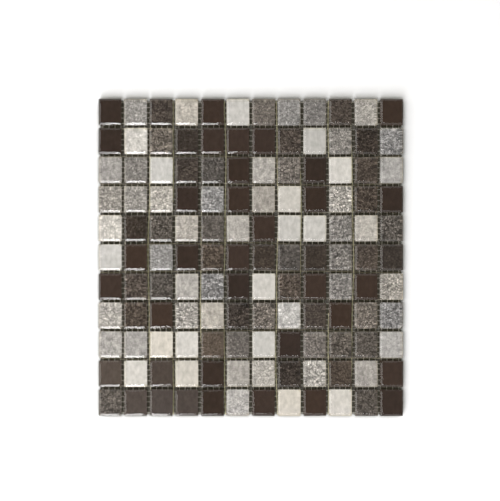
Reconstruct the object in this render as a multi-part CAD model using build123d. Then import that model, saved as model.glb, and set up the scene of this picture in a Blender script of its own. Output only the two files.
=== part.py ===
from build123d import *
import os

# A pool mosaic sheet: cushion-edged glass chips glued on an open glass-fibre net.
# Lengths are in millimetres. X runs along a row of chips, Y up the sheet and Z out of its face.
# The origin is the middle of the sheet, at the underside of the net.

# One glass chip
chip_width = 22.6
chip_length = 26.0
chip_thickness = 8.0
# The fire-polished edge: how far it reaches in from a side, and how far it falls
cushion_reach = 2.6
cushion_fall = 1.4

# The open joint between two chips, which the grout fills later
joint_width = 2.4

# The net: flat yarns in two bonded layers, the warp up the sheet and the weft across it
yarn_width = 1.2
yarn_thickness = 0.25
yarn_edge_slope = 0.2
warp_spacing = 5.7
weft_spacing = 5.35
net_inset = 1.0

# The sheet as laid, the top row first: one letter for the finish of each chip
chip_layout = [
    "DSKPDWGSSKSD",
    "DPGKDDDKWSKS",
    "PSWKGDPGDWKP",
    "SSSDSDPWDSKD",
    "PKGPGPDWWSPG",
    "WDSDKDKGKSKK",
    "DKGPSDWKDSDS",
    "SKDSPKGPKDGS",
    "PPWWKGWDGGGP",
    "TWTWDPSKSKPD",
    "GTTTDPDWDWGD",
]
finish_nodes = {
    "D": "espresso_chips",
    "T": "taupe_chips",
    "W": "ivory_chips",
    "P": "pearl_chips",
    "S": "silver_glitter_chips",
    "G": "grey_glitter_chips",
    "K": "graphite_glitter_chips",
}

# Sizes that follow from the ones above
row_count = len(chip_layout)
column_count = len(chip_layout[0])
column_pitch = chip_width + joint_width
row_pitch = chip_length + joint_width
sheet_width = column_count * column_pitch - joint_width
sheet_length = row_count * row_pitch - joint_width
net_thickness = 2 * yarn_thickness


def cushion_profile(span):
    """One upright section of a chip: flat back, straight sides, and a face that rolls off to both sides."""
    side = span / 2
    shoulder = chip_thickness - cushion_fall
    flat_end = side - cushion_reach
    with BuildSketch(Plane.XZ) as section:
        with BuildLine():
            base = Polyline((-side, shoulder), (-side, 0), (side, 0), (side, shoulder))
            right = TangentArc((flat_end, chip_thickness), base @ 1, tangent=(1, 0))
            left = TangentArc((-flat_end, chip_thickness), base @ 0, tangent=(-1, 0))
            Line(left @ 0, right @ 0)
        make_face()
    return section.sketch


def glass_chip():
    """A chip with its back at Z 0: two cushion sections crossed, so that the polished edges meet in mitres."""
    across = extrude(cushion_profile(chip_width), amount=chip_length / 2, both=True)
    along = extrude(cushion_profile(chip_length), amount=chip_width / 2, both=True)
    return across & (Rot(Z=90) * along)


def chip_places():
    """The layout's letter and the middle of each chip, row by row from the top left."""
    for row, letters in enumerate(chip_layout):
        y = (sheet_length - chip_length) / 2 - row * row_pitch
        for column, letter in enumerate(letters):
            x = (chip_width - sheet_width) / 2 + column * column_pitch
            yield letter, x, y


def yarn(length):
    """A flat yarn along X with its underside at Z 0: pointed sides, and flats above and below."""
    half_width = yarn_width / 2
    half_flat = half_width - yarn_edge_slope
    half_thickness = yarn_thickness / 2
    with BuildSketch(Plane.YZ) as section:
        with BuildLine():
            Polyline(
                (-half_width, half_thickness),
                (-half_flat, 0),
                (half_flat, 0),
                (half_width, half_thickness),
                (half_flat, yarn_thickness),
                (-half_flat, yarn_thickness),
                close=True,
            )
        make_face()
    return extrude(section.sketch, amount=length / 2, both=True)


def yarn_offsets(span, spacing):
    """The places of parallel yarns, evenly about the middle, as many as fit the span."""
    count = int((span - yarn_width) / spacing) + 1
    return [(index - (count - 1) / 2) * spacing for index in range(count)]


def write_node(name, solids):
    export_step(Compound(label=name, children=solids), f"parts/{name}.step")


def main():
    os.makedirs("parts", exist_ok=True)

    chip = glass_chip().solid()
    chips = {name: [] for name in finish_nodes.values()}
    for letter, x, y in chip_places():
        chips[finish_nodes[letter]].append(Pos(x, y, net_thickness) * chip)
    for name, solids in chips.items():
        write_node(name, solids)

    net_width = sheet_width - 2 * net_inset
    net_length = sheet_length - 2 * net_inset
    warp_yarn = (Rot(Z=90) * yarn(net_length)).solid()
    weft_yarn = (Pos(Z=yarn_thickness) * yarn(net_width)).solid()
    write_node("net_warp_yarns", [Pos(X=x) * warp_yarn for x in yarn_offsets(net_width, warp_spacing)])
    write_node("net_weft_yarns", [Pos(Y=y) * weft_yarn for y in yarn_offsets(net_length, weft_spacing)])


main()
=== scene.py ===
import math
import random

import bmesh
import bpy
from mathutils import Matrix, Vector


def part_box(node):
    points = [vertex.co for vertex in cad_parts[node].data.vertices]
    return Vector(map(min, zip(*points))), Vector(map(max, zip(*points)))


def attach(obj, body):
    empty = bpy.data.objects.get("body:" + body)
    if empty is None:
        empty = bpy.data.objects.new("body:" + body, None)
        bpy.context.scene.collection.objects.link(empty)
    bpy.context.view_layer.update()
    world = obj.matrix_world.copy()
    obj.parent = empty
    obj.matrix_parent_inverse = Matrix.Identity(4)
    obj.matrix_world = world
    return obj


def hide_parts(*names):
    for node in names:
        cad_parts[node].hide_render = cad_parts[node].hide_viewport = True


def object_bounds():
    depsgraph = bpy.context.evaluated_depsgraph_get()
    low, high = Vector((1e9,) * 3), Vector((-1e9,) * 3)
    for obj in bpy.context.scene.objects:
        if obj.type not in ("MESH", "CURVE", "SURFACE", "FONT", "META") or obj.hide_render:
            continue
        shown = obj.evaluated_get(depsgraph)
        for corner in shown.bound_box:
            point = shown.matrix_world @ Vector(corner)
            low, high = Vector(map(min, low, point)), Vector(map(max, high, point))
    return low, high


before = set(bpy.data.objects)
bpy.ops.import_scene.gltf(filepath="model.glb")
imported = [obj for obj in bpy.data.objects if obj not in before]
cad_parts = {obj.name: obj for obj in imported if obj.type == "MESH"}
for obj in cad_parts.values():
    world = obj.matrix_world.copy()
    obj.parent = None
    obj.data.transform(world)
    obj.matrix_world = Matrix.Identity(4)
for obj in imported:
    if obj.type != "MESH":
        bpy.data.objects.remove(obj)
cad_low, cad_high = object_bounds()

mm = 0.001

# The grid of chips, counted from the left and from the bottom
column_count = 12
row_count = 11
joint_width = 2.4 * mm
column_pitch = (cad_high.x - cad_low.x + joint_width) / column_count
row_pitch = (cad_high.y - cad_low.y + joint_width) / row_count
chip_width = column_pitch - joint_width
chip_length = row_pitch - joint_width

# A chip's upright section: straight sides, a small round, and a polished edge that runs into a flat face
chip_back = 0.5 * mm
chip_lift = 0.05 * mm
chip_thickness = 7.86 * mm
cushion_reach = 2.2 * mm
cushion_fall = 1.17 * mm
cushion_power = 1.07
cushion_rings = 8
shoulder_radius = 0.4 * mm
shoulder_turn = math.radians(58)
shoulder_rings = 3
back_arris = 0.15 * mm

# A chip's plan: its corners are round at the sides and nearly sharp at the flat of the face
plan_corner_radius = 0.6 * mm
mitre_radius = 0.2 * mm
corner_steps = 5
side_steps = 4
sharp_angle = math.radians(50)

# The painted shade on the rim of the paint, for the shade of the chips beside it: how far in it starts to
# fade and ends
rim_start = 1.4 * mm
rim_end = 2.2 * mm

# How far a chip laid by hand is off the grid
chip_shift = 0.22 * mm
chip_turn = math.radians(0.7)
chip_tilt = math.radians(0.2)
edge_margin = 0.06 * mm

# How chips from one mould differ: the most that one shrinks, the least share of it, and a flatter cushion
chip_shrinkage = 0.026
least_shrinkage_share = 0.5
cushion_play = 0.1

# The net: twisted pairs of warp strands with a flat weft yarn held between the two
strand_width = 0.56 * mm
strand_thickness = 0.15 * mm
strand_sway = 0.27 * mm
strand_rise = 0.08 * mm
strand_clearance = 0.08 * mm
weft_width = 1.15 * mm
weft_thickness = 0.16 * mm
weft_sway = 0.08 * mm
net_middle = 0.25 * mm
steps_per_crossing = 3
strand_sides = 4
weft_sides = 6

# How the slack net drifts off the grid of chips
drift_reach = 1.0 * mm
drift_length = 260 * mm
drift_width = 420 * mm
ripple_reach = 0.35 * mm
ripple_length = 95 * mm
ripple_width = 150 * mm
drift_taper = 30 * mm
warp_phase = 0
weft_phase = 0.3

# Where the corners of the solid yarns are read: how finely, and how far apart they belong to two yarns
place_digits = 5
yarn_gap = 1.5 * mm


def cushion_height(inset, fall):
    """How high the polished edge stands at a distance in from the chip's side."""
    left = max(0, 1 - inset / cushion_reach)
    return chip_thickness - fall * left**cushion_power


def section_rings(fall):
    """(inset, height) of each ring round a chip, from its back to the flat of its face."""
    rings = [(back_arris, 0), (0, back_arris)]
    turn_inset = shoulder_radius * (1 - math.cos(shoulder_turn))
    turn_height = shoulder_radius * math.sin(shoulder_turn)
    turn_base = cushion_height(turn_inset, fall) - turn_height
    for step in range(shoulder_rings):
        angle = shoulder_turn * step / shoulder_rings
        inset = shoulder_radius * (1 - math.cos(angle))
        rings.append((inset, turn_base + shoulder_radius * math.sin(angle)))
    for step in range(cushion_rings + 1):
        inset = turn_inset + (cushion_reach - turn_inset) * step / cushion_rings
        rings.append((inset, cushion_height(inset, fall)))
    rings.append((cushion_reach + shoulder_radius, chip_thickness))
    return rings


def ring_points(half_x, half_y, radius):
    """The outline of a rectangle with rounded corners, the same number of points for any radius."""
    points = []
    corners = [(1, 1, 0), (-1, 1, 90), (-1, -1, 180), (1, -1, 270)]
    for index, (sign_x, sign_y, start) in enumerate(corners):
        centre = Vector((sign_x * (half_x - radius), sign_y * (half_y - radius)))
        for step in range(corner_steps + 1):
            angle = math.radians(start + 90 * step / corner_steps)
            points.append(centre + radius * Vector((math.cos(angle), math.sin(angle))))
        next_x, next_y, next_start = corners[(index + 1) % len(corners)]
        next_centre = Vector((next_x * (half_x - radius), next_y * (half_y - radius)))
        next_angle = math.radians(next_start)
        side_end = next_centre + radius * Vector((math.cos(next_angle), math.sin(next_angle)))
        side_start = points[-1]
        for step in range(1, side_steps):
            points.append(side_start.lerp(side_end, step / side_steps))
    return points


def add_chip(mesh, place, width, length, fall):
    """Adds one closed chip: paint on its back, slot 1, and glass on all its other faces, slot 0."""
    painted_rim_shade = mesh.verts.layers.float["painted_rim_shade"]
    painted = [(rim_end, 0), (rim_start, 0)]
    loops = []
    for inset, height in painted + section_rings(fall):
        radius = max(plan_corner_radius - inset, mitre_radius)
        outline = ring_points(width / 2 - inset, length / 2 - inset, radius)
        loops.append([mesh.verts.new(place @ Vector((p.x, p.y, height))) for p in outline])
    # The painted shade of the rim fades in between the two painted rings and stays on out to the glass
    for loop in loops[1:]:
        for vertex in loop:
            vertex[painted_rim_shade] = 1
    count = len(loops[0])
    for number, (lower, upper) in enumerate(zip(loops, loops[1:])):
        for index in range(count):
            after = (index + 1) % count
            face = mesh.faces.new((lower[index], lower[after], upper[after], upper[index]))
            face.smooth = True
            face.material_index = int(number < len(painted))
    top = mesh.faces.new(loops[-1])
    top.smooth = True
    back = mesh.faces.new(list(reversed(loops[0])))
    back.material_index = 1


def cells_of(node):
    """The column and row of each chip in a CAD node."""
    cells = set()
    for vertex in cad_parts[node].data.vertices:
        column = round((vertex.co.x - cad_low.x - chip_width / 2) / column_pitch)
        row = round((vertex.co.y - cad_low.y - chip_length / 2) / row_pitch)
        cells.add((column, row))
    return sorted(cells)


def inward(offset, index, count):
    """Keeps a chip in the outer rows and columns from leaving the sheet's outline."""
    if index == 0:
        return abs(offset) + edge_margin
    if index == count - 1:
        return -abs(offset) - edge_margin
    return offset


def chip_mesh(node):
    """All the chips of one finish, each a little off the grid and with three numbers of its own."""
    mesh = bmesh.new()
    mesh.verts.layers.float.new("painted_rim_shade")
    shades = []
    for column, row in cells_of(node):
        chance = random.Random(column * row_count + row)
        shift_x = inward(chance.uniform(-chip_shift, chip_shift), column, column_count)
        shift_y = inward(chance.uniform(-chip_shift, chip_shift), row, row_count)
        at = Vector((
            cad_low.x + chip_width / 2 + column * column_pitch + shift_x,
            cad_low.y + chip_length / 2 + row * row_pitch + shift_y,
            chip_back + chip_lift,
        ))
        place = (
            Matrix.Translation(at)
            @ Matrix.Rotation(chance.uniform(-chip_turn, chip_turn), 4, "Z")
            @ Matrix.Rotation(chance.uniform(-chip_tilt, chip_tilt), 4, "X")
            @ Matrix.Rotation(chance.uniform(-chip_tilt, chip_tilt), 4, "Y")
        )
        size = 1 - chance.uniform(least_shrinkage_share, 1) * chip_shrinkage
        fall = cushion_fall * (1 - cushion_play * chance.random())
        before = len(mesh.faces)
        add_chip(mesh, place, chip_width * size, chip_length * size, fall)
        own = (chance.random(), chance.random(), chance.random(), 1)
        shades += own * (len(mesh.faces) - before)
    data = bpy.data.meshes.new(node)
    mesh.to_mesh(data)
    mesh.free()
    shade = data.attributes.new("shade", "FLOAT_COLOR", "FACE")
    shade.data.foreach_set("color", shades)
    data.set_sharp_from_angle(angle=sharp_angle)
    return data


def new_material(name):
    material = bpy.data.materials.new(name)
    material.use_nodes = True
    nodes = material.node_tree.nodes
    nodes.clear()
    return material, nodes, material.node_tree.links


def attribute(nodes, name):
    """The node that reads what a mesh says of its own points or faces."""
    node = nodes.new("ShaderNodeAttribute")
    node.attribute_name = name
    return node


def calculated(nodes, links, operation, *terms):
    """What a Math node makes of its terms, which are sockets or numbers."""
    node = nodes.new("ShaderNodeMath")
    node.operation = operation
    for index, term in enumerate(terms):
        if isinstance(term, bpy.types.NodeSocket):
            links.new(term, node.inputs[index])
        else:
            node.inputs[index].default_value = term
    return node.outputs[0]


def scaled(nodes, links, colour, factor):
    """A colour times a number, both from sockets."""
    multiply = nodes.new("ShaderNodeVectorMath")
    multiply.operation = "SCALE"
    links.new(colour, multiply.inputs[0])
    links.new(factor, multiply.inputs["Scale"])
    return multiply.outputs[0]


def product(nodes, links, first, second):
    """Two colours multiplied."""
    multiply = nodes.new("ShaderNodeVectorMath")
    multiply.operation = "MULTIPLY"
    links.new(first, multiply.inputs[0])
    links.new(second, multiply.inputs[1])
    return multiply.outputs[0]


def ramp_between(nodes, links, factor, first, last, start=0, end=1):
    """A colour that runs from first to last as the factor runs from start to end."""
    ramp = nodes.new("ShaderNodeValToRGB")
    stops = ramp.color_ramp.elements
    stops[0].position = start
    stops[0].color = (*first, 1)
    stops[1].position = end
    stops[1].color = (*last, 1)
    links.new(factor, ramp.inputs[0])
    return ramp.outputs[0]


# Clear glass: its surface, how far it bends light, and the faint green that its thickness adds
glass_colour = (0.985, 0.985, 0.975, 1)
glass_roughness = 0.02
glass_index = 1.52
glass_tint = (0.82, 0.86, 0.60, 1)
glass_density = 18
# What a chip lets through of the light that falls on its neighbours and of the light on its own paint
shaded_light = (0.08, 0.08, 0.06)
passed_light = (0.96, 0.96, 0.95)
# The faint waves of a pressed glass face
wave_length = 11 * mm
wave_height = 0.012 * mm
wave_detail = 1


def glass_material():
    material, nodes, links = new_material("clear_glass")
    output = nodes.new("ShaderNodeOutputMaterial")
    body = nodes.new("ShaderNodeBsdfPrincipled")
    body.inputs["Base Color"].default_value = glass_colour
    body.inputs["Roughness"].default_value = glass_roughness
    body.inputs["IOR"].default_value = glass_index
    body.inputs["Transmission Weight"].default_value = 1
    # Light reaches the paint inside a chip, but what lies beside a chip is in its shade
    path = nodes.new("ShaderNodeLightPath")
    leaving = nodes.new("ShaderNodeNewGeometry").outputs["Backfacing"]
    inside = calculated(nodes, links, "MAXIMUM", leaving, path.outputs["Transparent Depth"])
    clear = nodes.new("ShaderNodeBsdfTransparent")
    links.new(ramp_between(nodes, links, inside, shaded_light, passed_light), clear.inputs["Color"])
    shader = body
    for ray in ("Is Shadow Ray", "Is Diffuse Ray"):
        mix = nodes.new("ShaderNodeMixShader")
        links.new(path.outputs[ray], mix.inputs[0])
        links.new(shader.outputs[0], mix.inputs[1])
        links.new(clear.outputs[0], mix.inputs[2])
        shader = mix
    links.new(shader.outputs[0], output.inputs["Surface"])
    absorb = nodes.new("ShaderNodeVolumeAbsorption")
    absorb.inputs["Color"].default_value = glass_tint
    absorb.inputs["Density"].default_value = glass_density
    links.new(absorb.outputs[0], output.inputs["Volume"])

    waves = nodes.new("ShaderNodeTexNoise")
    waves.inputs["Scale"].default_value = 1 / wave_length
    waves.inputs["Detail"].default_value = wave_detail
    links.new(nodes.new("ShaderNodeTexCoord").outputs["Object"], waves.inputs["Vector"])
    bump = nodes.new("ShaderNodeBump")
    bump.inputs["Distance"].default_value = wave_height
    links.new(waves.outputs[0], bump.inputs["Height"])
    links.new(bump.outputs[0], body.inputs["Normal"])
    return material


# The paint on the chips' backs: darkest chip, lightest chip, how cloudy it is and how much it glitters,
# its glints painted into its colour
finishes = {
    "espresso_chips": ((0.035, 0.0235, 0.0195), (0.050, 0.0325, 0.0265), 0.2, 0),
    "taupe_chips": ((0.064, 0.050, 0.0465), (0.090, 0.072, 0.067), 0.22, 0),
    "ivory_chips": ((0.50, 0.475, 0.475), (0.64, 0.605, 0.605), 0.2, 0),
    "pearl_chips": ((0.27, 0.25, 0.255), (0.66, 0.63, 0.64), 0.38, 0.45),
    "silver_glitter_chips": ((0.187, 0.175, 0.182), (0.42, 0.40, 0.41), 0.2, 1.15),
    "grey_glitter_chips": ((0.081, 0.070, 0.066), (0.171, 0.150, 0.144), 0.2, 1.35),
    "graphite_glitter_chips": ((0.038, 0.030, 0.027), (0.101, 0.080, 0.071), 0.2, 1.2),
}
paint_roughness = 0.6
warm_tint = (1.03, 0.99, 0.95)
cool_tint = (0.98, 0.99, 1.04)
# The painted shade on the rim of the paint: how dim and warm its colour is made there, for the shade of
# the chips beside it
plain_light = (1, 1, 1)
rim_shade_colour = (0.82, 0.79, 0.70)
# The clouds in the paint, and the levels of their noise that are its darkest and its lightest
cloud_size = 4 * mm
cloud_stretch = 1.6
cloud_detail = 3
cloud_roughness = 0.6
cloud_low = 0.25
cloud_high = 0.75
# Glitter flakes by size, the bright ones painted glints in the colour: how wide they are, and how few of
# them shine
coarse_flakes = (1.7 * mm, 1)
fine_flakes = (0.9 * mm, 2)
rare_flakes = (1.2 * mm, 7)
# The painted glints of the dullest chip of a finish, as a share of the brightest one's
dullest_glitter = 0.45


def chip_shades(nodes, links):
    """Three numbers from 0 to 1 that each chip has of its own: its tone, its tint and the strength of its
    painted glints.
    """
    split = nodes.new("ShaderNodeSeparateColor")
    links.new(attribute(nodes, "shade").outputs["Color"], split.inputs[0])
    return split.outputs[0], split.outputs[1], split.outputs[2]


def mottle(nodes, links, place, contrast):
    """A soft cloudy factor about 1, for paint laid a little thicker here and thinner there."""
    squeeze = nodes.new("ShaderNodeMapping")
    squeeze.inputs["Scale"].default_value = (1, 1 / cloud_stretch, 1)
    links.new(place, squeeze.inputs["Vector"])
    noise = nodes.new("ShaderNodeTexNoise")
    noise.inputs["Scale"].default_value = 1 / cloud_size
    noise.inputs["Detail"].default_value = cloud_detail
    noise.inputs["Roughness"].default_value = cloud_roughness
    links.new(squeeze.outputs[0], noise.inputs["Vector"])
    spread = nodes.new("ShaderNodeMapRange")
    spread.inputs["From Min"].default_value = cloud_low
    spread.inputs["From Max"].default_value = cloud_high
    spread.inputs["To Min"].default_value = 1 - contrast
    spread.inputs["To Max"].default_value = 1 + contrast
    links.new(noise.outputs[0], spread.inputs["Value"])
    return spread.outputs[0]


def flakes(nodes, links, place, size, power, contrast):
    """A factor about 1 for each glitter flake, its bright ones painted glints: the higher the power, the
    fewer of them shine.
    """
    cells = nodes.new("ShaderNodeTexVoronoi")
    cells.inputs["Scale"].default_value = 1 / size
    links.new(place, cells.inputs["Vector"])
    split = nodes.new("ShaderNodeSeparateColor")
    links.new(cells.outputs["Color"], split.inputs[0])
    curve = calculated(nodes, links, "POWER", split.outputs[0], power)
    centred = calculated(nodes, links, "SUBTRACT", curve, 1 / (power + 1))
    return calculated(nodes, links, "MULTIPLY_ADD", centred, contrast, 1)


def paint_material(name, darkest, lightest, cloud, glitter):
    material, nodes, links = new_material(name)
    output = nodes.new("ShaderNodeOutputMaterial")
    body = nodes.new("ShaderNodeBsdfPrincipled")
    body.inputs["Roughness"].default_value = paint_roughness
    body.inputs["Specular IOR Level"].default_value = 0
    links.new(body.outputs[0], output.inputs["Surface"])
    place = nodes.new("ShaderNodeTexCoord").outputs["Object"]
    tone, tint, sparkle = chip_shades(nodes, links)
    colour = ramp_between(nodes, links, tone, darkest, lightest)
    colour = product(nodes, links, colour, ramp_between(nodes, links, tint, warm_tint, cool_tint))
    colour = scaled(nodes, links, colour, mottle(nodes, links, place, cloud))
    # Painted shade: the paint's colour is made dimmer and warmer at the rim of its back
    painted_rim_shade = attribute(nodes, "painted_rim_shade").outputs["Fac"]
    colour = product(nodes, links, colour, ramp_between(nodes, links, painted_rim_shade, plain_light, rim_shade_colour))
    # Painted glints: the glitter flakes are the paint's own, and the bright ones are painted into the
    # colour
    if glitter:
        contrast = nodes.new("ShaderNodeMapRange")
        contrast.inputs["To Min"].default_value = glitter * dullest_glitter
        contrast.inputs["To Max"].default_value = glitter
        links.new(sparkle, contrast.inputs["Value"])
        for size, power in (coarse_flakes, fine_flakes, rare_flakes):
            painted_glint = flakes(nodes, links, place, size, power, contrast.outputs[0])
            colour = scaled(nodes, links, colour, painted_glint)
    links.new(colour, body.inputs["Base Color"])
    return material


def make_chips():
    glass = glass_material()
    for node, finish in finishes.items():
        data = chip_mesh(node)
        data.materials.append(glass)
        data.materials.append(paint_material(node.replace("_chips", "_paint"), *finish))
        piece = bpy.data.objects.new(node + "_glass", data)
        bpy.context.scene.collection.objects.link(piece)
        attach(piece, "root")
        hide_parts(node)


# The coated glass fibre of the net, and the yarns along the joints: painted light makes the warps there
# olive, and painted shade makes the wefts there darker
yarn_roughness = 0.45
free_warp = (0.76, 0.72, 0.64)
free_weft = (0.36, 0.34, 0.29)
joint_warp_light = (0.80, 0.74, 0.46)
joint_weft_shade = (0.29, 0.25, 0.18)


def yarn_material(name, free_colour, joint_colour):
    material, nodes, links = new_material(name)
    output = nodes.new("ShaderNodeOutputMaterial")
    body = nodes.new("ShaderNodeBsdfPrincipled")
    body.inputs["Roughness"].default_value = yarn_roughness
    links.new(body.outputs[0], output.inputs["Surface"])
    # Painted light and shade: the yarns along a joint take their own colour
    along_joint = attribute(nodes, "along_joint").outputs["Fac"]
    links.new(ramp_between(nodes, links, along_joint, free_colour, joint_colour), body.inputs["Base Color"])
    return material


def yarn_places(node, axis):
    """The middle of each yarn of a CAD net node, along the axis that the yarns are spread over."""
    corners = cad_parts[node].data.vertices
    values = sorted({round(vertex.co[axis], place_digits) for vertex in corners})
    groups = [[values[0]]]
    for value in values[1:]:
        if value - groups[-1][-1] > yarn_gap:
            groups.append([])
        groups[-1].append(value)
    return [(group[0] + group[-1]) / 2 for group in groups]


def add_strand(mesh, path, width, thickness, sides, across):
    """Adds a closed flat strand along a path, its width lying along the direction across."""
    loops = []
    for point in path:
        loop = []
        for side in range(sides):
            angle = 2 * math.pi * (side + 0.5) / sides
            offset = across * (math.cos(angle) * width / 2)
            rise = Vector((0, 0, math.sin(angle) * thickness / 2))
            loop.append(mesh.verts.new(point + offset + rise))
        loops.append(loop)
    for first, second in zip(loops, loops[1:]):
        for side in range(sides):
            after = (side + 1) % sides
            mesh.faces.new((first[side], first[after], second[after], second[side])).smooth = True
    mesh.faces.new(list(reversed(loops[0])))
    mesh.faces.new(loops[-1])


def joint_distance(value, low, pitch):
    """How far a place is from the middle of the nearest joint between chips."""
    steps = (value - low + joint_width / 2) / pitch
    return abs(steps - round(steps)) * pitch


def drift(along, across, half_span, phase):
    """How far the slack net lies off its straight line, less towards its ends."""
    wave = math.sin(2 * math.pi * (along / drift_length + across / drift_width + phase))
    ripple = math.sin(2 * math.pi * (along / ripple_length - across / ripple_width + phase))
    slack = min(1, (half_span - abs(across)) / drift_taper)
    return (drift_reach * wave + ripple_reach * ripple) * slack


def finish_net(mesh, node, axis, low, pitch, colours):
    """Makes the yarns of a node from their mesh, and marks those that run along a joint, for their
    painted light and shade.
    """
    bmesh.ops.recalc_face_normals(mesh, faces=mesh.faces)
    data = bpy.data.meshes.new(node)
    mesh.to_mesh(data)
    mesh.free()
    # Marks the yarns that run along a joint, which get the painted light and shade
    along_joint = data.attributes.new("along_joint", "FLOAT", "POINT")
    reach = (joint_width + strand_width) / 2
    distances = [joint_distance(vertex.co[axis], low, pitch) for vertex in data.vertices]
    along_joint.data.foreach_set("value", [float(distance < reach) for distance in distances])
    data.materials.append(yarn_material(node.replace("net", "coated"), *colours))
    piece = bpy.data.objects.new(node + "_woven", data)
    bpy.context.scene.collection.objects.link(piece)
    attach(piece, "root")
    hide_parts(node)


def make_warp_yarns(warps, wefts):
    """Two strands for each yarn up the sheet, which twist round one weft yarn after the other."""
    low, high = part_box("net_warp_yarns")
    spacing = (wefts[-1] - wefts[0]) / (len(wefts) - 1)
    step_count = round((high.y - low.y) / spacing * steps_per_crossing)
    mesh = bmesh.new()
    for number, x in enumerate(warps):
        for side in (-1, 1):
            path = []
            for step in range(step_count + 1):
                y = low.y + (high.y - low.y) * step / step_count
                turns = (y - wefts[0]) / spacing + number
                sway = side * strand_sway * math.cos(math.pi * turns) + drift(y, x, high.x, warp_phase)
                rise = side * (strand_clearance + strand_rise * math.cos(2 * math.pi * turns))
                path.append(Vector((x + sway, y, net_middle + rise)))
            add_strand(mesh, path, strand_width, strand_thickness, strand_sides, Vector((1, 0, 0)))
    finish_net(mesh, "net_warp_yarns", 0, cad_low.x, column_pitch, (free_warp, joint_warp_light))


def make_weft_yarns(warps, wefts):
    """One flat yarn across the sheet for each weft, swayed a little by the strands that hold it."""
    low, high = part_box("net_weft_yarns")
    spacing = (warps[-1] - warps[0]) / (len(warps) - 1)
    step_count = round((high.x - low.x) / spacing * steps_per_crossing)
    mesh = bmesh.new()
    for number, y in enumerate(wefts):
        path = []
        for step in range(step_count + 1):
            x = low.x + (high.x - low.x) * step / step_count
            turns = (x - warps[0]) / spacing + number
            sway = weft_sway * math.cos(math.pi * turns) + drift(x, y, high.y, weft_phase)
            path.append(Vector((x, y + sway, net_middle)))
        add_strand(mesh, path, weft_width, weft_thickness, weft_sides, Vector((0, 1, 0)))
    finish_net(mesh, "net_weft_yarns", 1, cad_low.y, row_pitch, (free_weft, joint_weft_shade))


def make_net():
    warps = yarn_places("net_warp_yarns", 0)
    wefts = yarn_places("net_weft_yarns", 1)
    make_warp_yarns(warps, wefts)
    make_weft_yarns(warps, wefts)


# The view: the picture's scale, and where the sheet's middle and the point under the camera show in it
picture_width = 500
picture_height = 501
pixels_per_metre = 1027
sheet_pixel = Vector((250.8, 257.4))
foot_pixel = Vector((255.0, 270.0))
camera_height = 900 * mm
camera_near = 10 * mm
sensor_width = 36.0


def make_camera():
    data = bpy.data.cameras.new("camera")
    camera = bpy.data.objects.new("camera", data)
    bpy.context.scene.collection.objects.link(camera)
    foot = (foot_pixel - sheet_pixel) / pixels_per_metre
    camera.location = (foot.x, -foot.y, cad_high.z + camera_height)
    data.sensor_width = sensor_width
    data.lens = sensor_width * camera_height * pixels_per_metre / picture_height
    data.shift_x = (picture_width / 2 - foot_pixel.x) / picture_height
    data.shift_y = (foot_pixel.y - picture_height / 2) / picture_height
    data.clip_start = camera_near
    bpy.context.scene.camera = camera


# The room that the glass mirrors: the side that each pane of light stands on, where it begins and ends
# along that side, its lower and upper edge, its radiance and its colour
panes = {
    "bright_window": ("front", -1.7, -0.6, 0.6, 2.7, 5, (1, 1, 1)),
    "window_top": ("front", -0.6, -0.29, 1.75, 2.7, 13, (1, 1, 1)),
    "window": ("front", -0.6, -0.29, 0.6, 1.75, 8.5, (1, 1, 1)),
    "curtain_top": ("front", -0.29, -0.1, 1.4, 2.7, 6.5, (1, 1, 1)),
    "curtain": ("front", -0.29, -0.1, 0.6, 1.4, 2.2, (1, 1, 1)),
    "front_wall": ("front", -0.1, 1.1, 0.6, 2.7, 0.7, (1, 0.98, 0.96)),
    "left_wall": ("left", -1.3, 1.3, 0.5, 3, 1.6, (1, 0.97, 0.92)),
    "back_wall": ("back", -1.3, 1.3, 0.6, 2, 0.5, (1, 0.98, 0.96)),
}
# Where each side of the room lies from the sheet, and how far off
room_sides = {"front": Vector((0, -1, 0)), "left": Vector((-1, 0, 0)), "back": Vector((0, 1, 0))}
room_reach = 2
# A skylight, too high for the polished edges and too low for the flats to mirror it to the camera
skylight_place = Vector((-0.5, -1, 2.2))
skylight_width = 1.8
skylight_length = 0.9
skylight_radiance = 4.4
skylight_colour = (1, 1, 1)
# The power of a square metre of area light for one unit of radiance
power_per_radiance = 4


def add_rectangle(name, place, width, height, radiance, colour):
    """A rectangle of light that faces down until it is turned."""
    data = bpy.data.lights.new(name, "AREA")
    data.shape = "RECTANGLE"
    data.size = width
    data.size_y = height
    data.energy = radiance * power_per_radiance * width * height
    data.color = colour
    light = bpy.data.objects.new(name, data)
    light.location = place
    light.visible_camera = False
    bpy.context.scene.collection.objects.link(light)
    return light


def add_pane(name, side, begin, end, bottom, top, radiance, colour):
    """An upright rectangle of light, as a window or a lit wall is."""
    outward = room_sides[side]
    along = Vector((abs(outward.y), abs(outward.x), 0))
    place = outward * room_reach + along * (begin + end) / 2 + Vector((0, 0, (bottom + top) / 2))
    light = add_rectangle(name, place, end - begin, top - bottom, radiance, colour)
    light.rotation_euler = (-outward).to_track_quat("-Z", "Y").to_euler()


def make_lights():
    for name, pane in panes.items():
        add_pane(name, *pane)
    size = (skylight_width, skylight_length)
    add_rectangle("skylight", skylight_place, *size, skylight_radiance, skylight_colour)


# How bright the sky is at some heights above the horizon, from 0 to 1 overhead
horizon_level = 0.8
sky_levels = [(0.1, horizon_level), (0.35, 0.28), (0.8, 0.1)]


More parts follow.
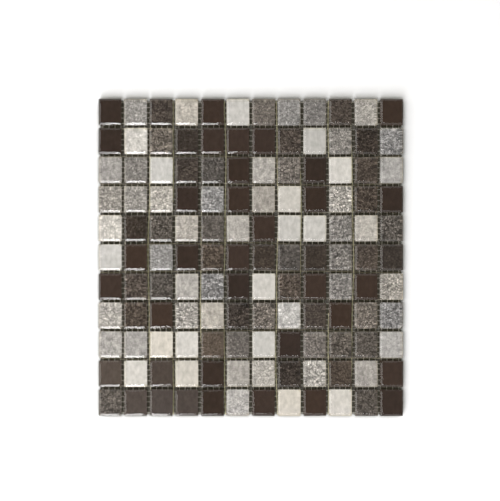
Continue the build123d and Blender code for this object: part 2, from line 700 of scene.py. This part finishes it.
def make_sky():
    world = bpy.data.worlds.new("studio")
    bpy.context.scene.world = world
    world.use_nodes = True
    nodes, links = world.node_tree.nodes, world.node_tree.links
    where = nodes.new("ShaderNodeTexCoord")
    split = nodes.new("ShaderNodeSeparateXYZ")
    links.new(where.outputs["Generated"], split.inputs[0])
    fade = nodes.new("ShaderNodeValToRGB")
    stops = fade.color_ramp.elements
    for height, level in sky_levels[1:-1]:
        stops.new(height)
    for stop, (height, level) in zip(stops, sky_levels):
        stop.position = height
        stop.color = (level, level, level, 1)
    links.new(split.outputs["Z"], fade.inputs[0])
    links.new(fade.outputs[0], nodes["Background"].inputs["Color"])


# The floor: pale where it lies open, and painted shade, dark and warm, where the sheet closes it in
floor_reach = 6
floor_roughness = 0.8
open_floor = (0.93, 0.93, 0.93)
painted_shade_floor = (0.07, 0.06, 0.042)
# How near a thing has to be to close the floor in, and how open closed and open floor are, for the
# floor's painted shade
closing_reach = 20 * mm
closed_level = 0.4
open_level = 0.75
openness_samples = 8
# How far from the sheet the floor starts to fade into the horizon, and where it has done so
floor_fade_start = 0.5
floor_fade_end = 1.8


def seen_or_mirrored(nodes, links):
    """1 for what is seen, also in a mirror or through glass, and 0 for light that falls on things."""
    path = nodes.new("ShaderNodeLightPath")
    seen = path.outputs["Is Camera Ray"]
    for ray in ("Is Glossy Ray", "Is Transmission Ray"):
        seen = calculated(nodes, links, "MAXIMUM", seen, path.outputs[ray])
    return seen


def floor_material():
    material, nodes, links = new_material("pale_floor")
    output = nodes.new("ShaderNodeOutputMaterial")
    body = nodes.new("ShaderNodeBsdfPrincipled")
    body.inputs["Roughness"].default_value = floor_roughness
    # Painted shade: the floor's colour turns dark and warm where the sheet closes it in, as under the
    # joints
    openness = nodes.new("ShaderNodeAmbientOcclusion")
    openness.samples = openness_samples
    openness.inputs["Distance"].default_value = closing_reach
    levels = (closed_level, open_level)
    colour = ramp_between(nodes, links, openness.outputs["AO"], painted_shade_floor, open_floor, *levels)
    links.new(colour, body.inputs["Base Color"])
    # Far from the sheet the floor runs into the horizon to the eye, and gives no light of its own
    distance = nodes.new("ShaderNodeVectorMath")
    distance.operation = "LENGTH"
    links.new(nodes.new("ShaderNodeTexCoord").outputs["Object"], distance.inputs[0])
    far = nodes.new("ShaderNodeMapRange")
    far.interpolation_type = "SMOOTHSTEP"
    far.inputs["From Min"].default_value = floor_fade_start
    far.inputs["From Max"].default_value = floor_fade_end
    links.new(distance.outputs["Value"], far.inputs["Value"])
    glow = nodes.new("ShaderNodeEmission")
    glow.inputs["Color"].default_value = (horizon_level, horizon_level, horizon_level, 1)
    mix = nodes.new("ShaderNodeMixShader")
    shown = calculated(nodes, links, "MULTIPLY", far.outputs[0], seen_or_mirrored(nodes, links))
    links.new(shown, mix.inputs[0])
    links.new(body.outputs[0], mix.inputs[1])
    links.new(glow.outputs[0], mix.inputs[2])
    links.new(mix.outputs[0], output.inputs["Surface"])
    return material


def make_floor():
    mesh = bpy.data.meshes.new("floor")
    corners = [(-1, -1), (1, -1), (1, 1), (-1, 1)]
    mesh.from_pydata([(x * floor_reach, y * floor_reach, 0) for x, y in corners], [], [(0, 1, 2, 3)])
    mesh.materials.append(floor_material())
    floor = bpy.data.objects.new("floor", mesh)
    bpy.context.scene.collection.objects.link(floor)


make_camera()
make_lights()
make_sky()
make_floor()
make_chips()
make_net()

bpy.context.scene.view_settings.view_transform = "Standard"
